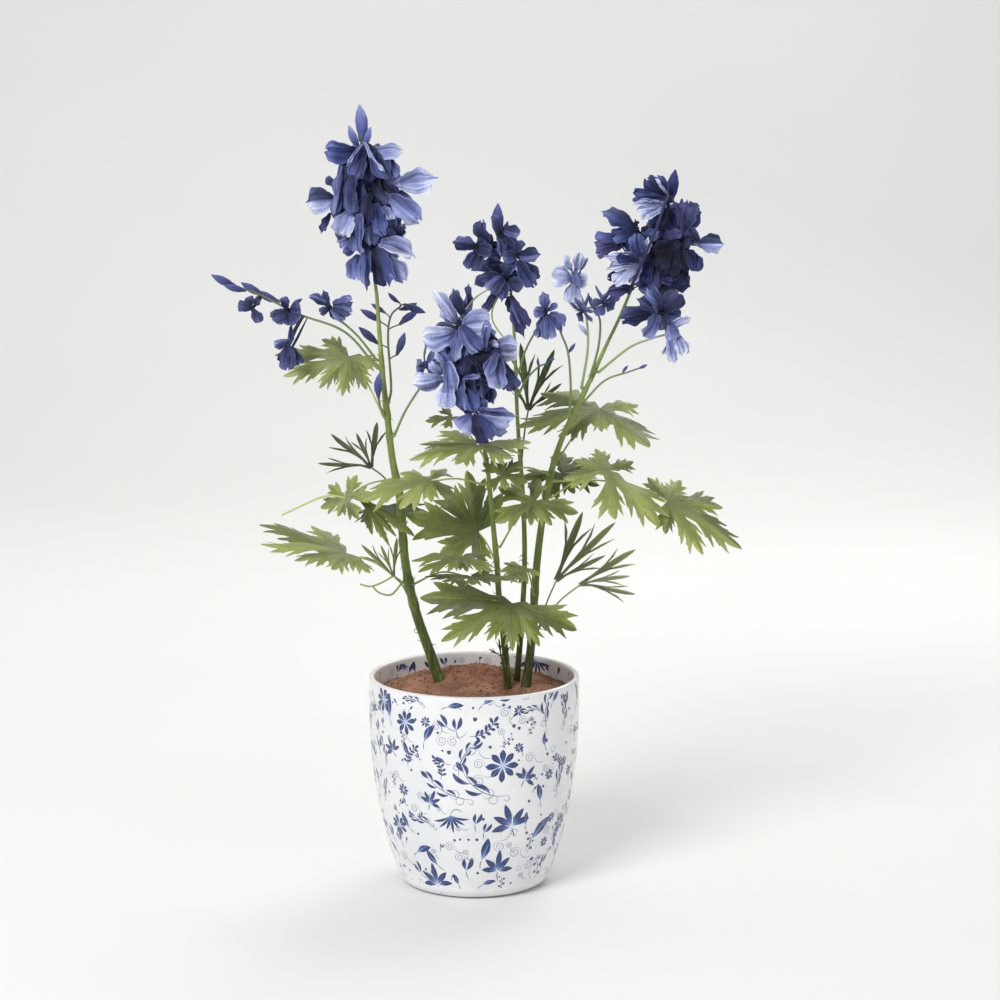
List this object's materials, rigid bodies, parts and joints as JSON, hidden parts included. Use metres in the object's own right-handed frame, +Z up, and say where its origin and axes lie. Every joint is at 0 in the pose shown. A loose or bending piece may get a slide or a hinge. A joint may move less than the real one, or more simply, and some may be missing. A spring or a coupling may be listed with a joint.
{
  "type": "potted delphinium",
  "caption": "Tall garden perennial with divided leaves and spikes of blue five-petalled flowers, in a round bellied glazed pot filled with soil.",
  "frame": {"origin": "middle of the pot's flat base, on the surface that the pot stands on", "axes": "+Z up, along the plant's height; -Y towards the front of the plant; +X to the right as seen from the front"},
  "size_m": [0.3702, 0.1811, 0.552],
  "materials": {
    "pot_glaze": "clear gloss glaze over white, with a blue floral print",
    "soil": "loose, grainy and dull",
    "stem": "satin green, darker towards the soil",
    "leaf_pale": "soft satin, pale yellow green with fine veins",
    "leaf": "soft satin, mid green with fine veins",
    "leaf_dark": "dull, dark olive green",
    "petal_pale": "soft matt, pale blue with darker veins",
    "petal_blue": "soft matt, slate blue with darker veins",
    "petal_dark": "soft matt, dark violet blue with paler streaks"
  },
  "bodies": {
    "root": {"pot": "pot_glaze", "soil": "soil", "stem_back": "stem", "stem_left": "stem", "stem_middle": "stem", "stem_right": "stem", "leaf_behind_left": "leaf_dark", "leaf_behind_right": "leaf_dark", "leaf_centre_big": "leaf", "leaf_centre_edge": "leaf_dark", "leaf_centre_flat": "leaf", "leaf_centre_front": "leaf", "leaf_centre_right": "leaf", "leaf_centre_small": "leaf", "leaf_centre_top": "leaf_pale", "leaf_fine_back": "leaf_dark", "leaf_fine_right": "leaf", "leaf_fine_top": "leaf_dark", "leaf_foot": "leaf_dark", "leaf_front_low": "leaf", "leaf_left_arched": "leaf_pale", "leaf_left_fine": "leaf_dark", "leaf_left_hanging": "leaf_dark", "leaf_left_low": "leaf_pale", "leaf_left_slip": "leaf", "leaf_left_star": "leaf_pale", "leaf_left_top": "leaf_pale", "leaf_right_far": "leaf_pale", "leaf_right_near": "leaf_pale", "leaf_right_top": "leaf_pale", "leaf_small_top": "leaf", "bud_left_low": "petal_blue", "flower_back": "petal_blue", "flower_long_stalk": "petal_blue", "flower_right_hanging": "petal_pale", "flower_right_light": "petal_pale", "spray_back": "petal_blue", "spray_left": "petal_pale", "spray_left_buds": "petal_blue", "spray_left_side": "petal_blue", "spray_left_single": "petal_blue", "spray_middle": "petal_pale", "spray_right": "petal_dark", "spray_right_side": "petal_blue", "twig_bud": "petal_blue", "twig_middle": "petal_blue", "twig_right": "petal_blue"}
  },
  "joints": []
}
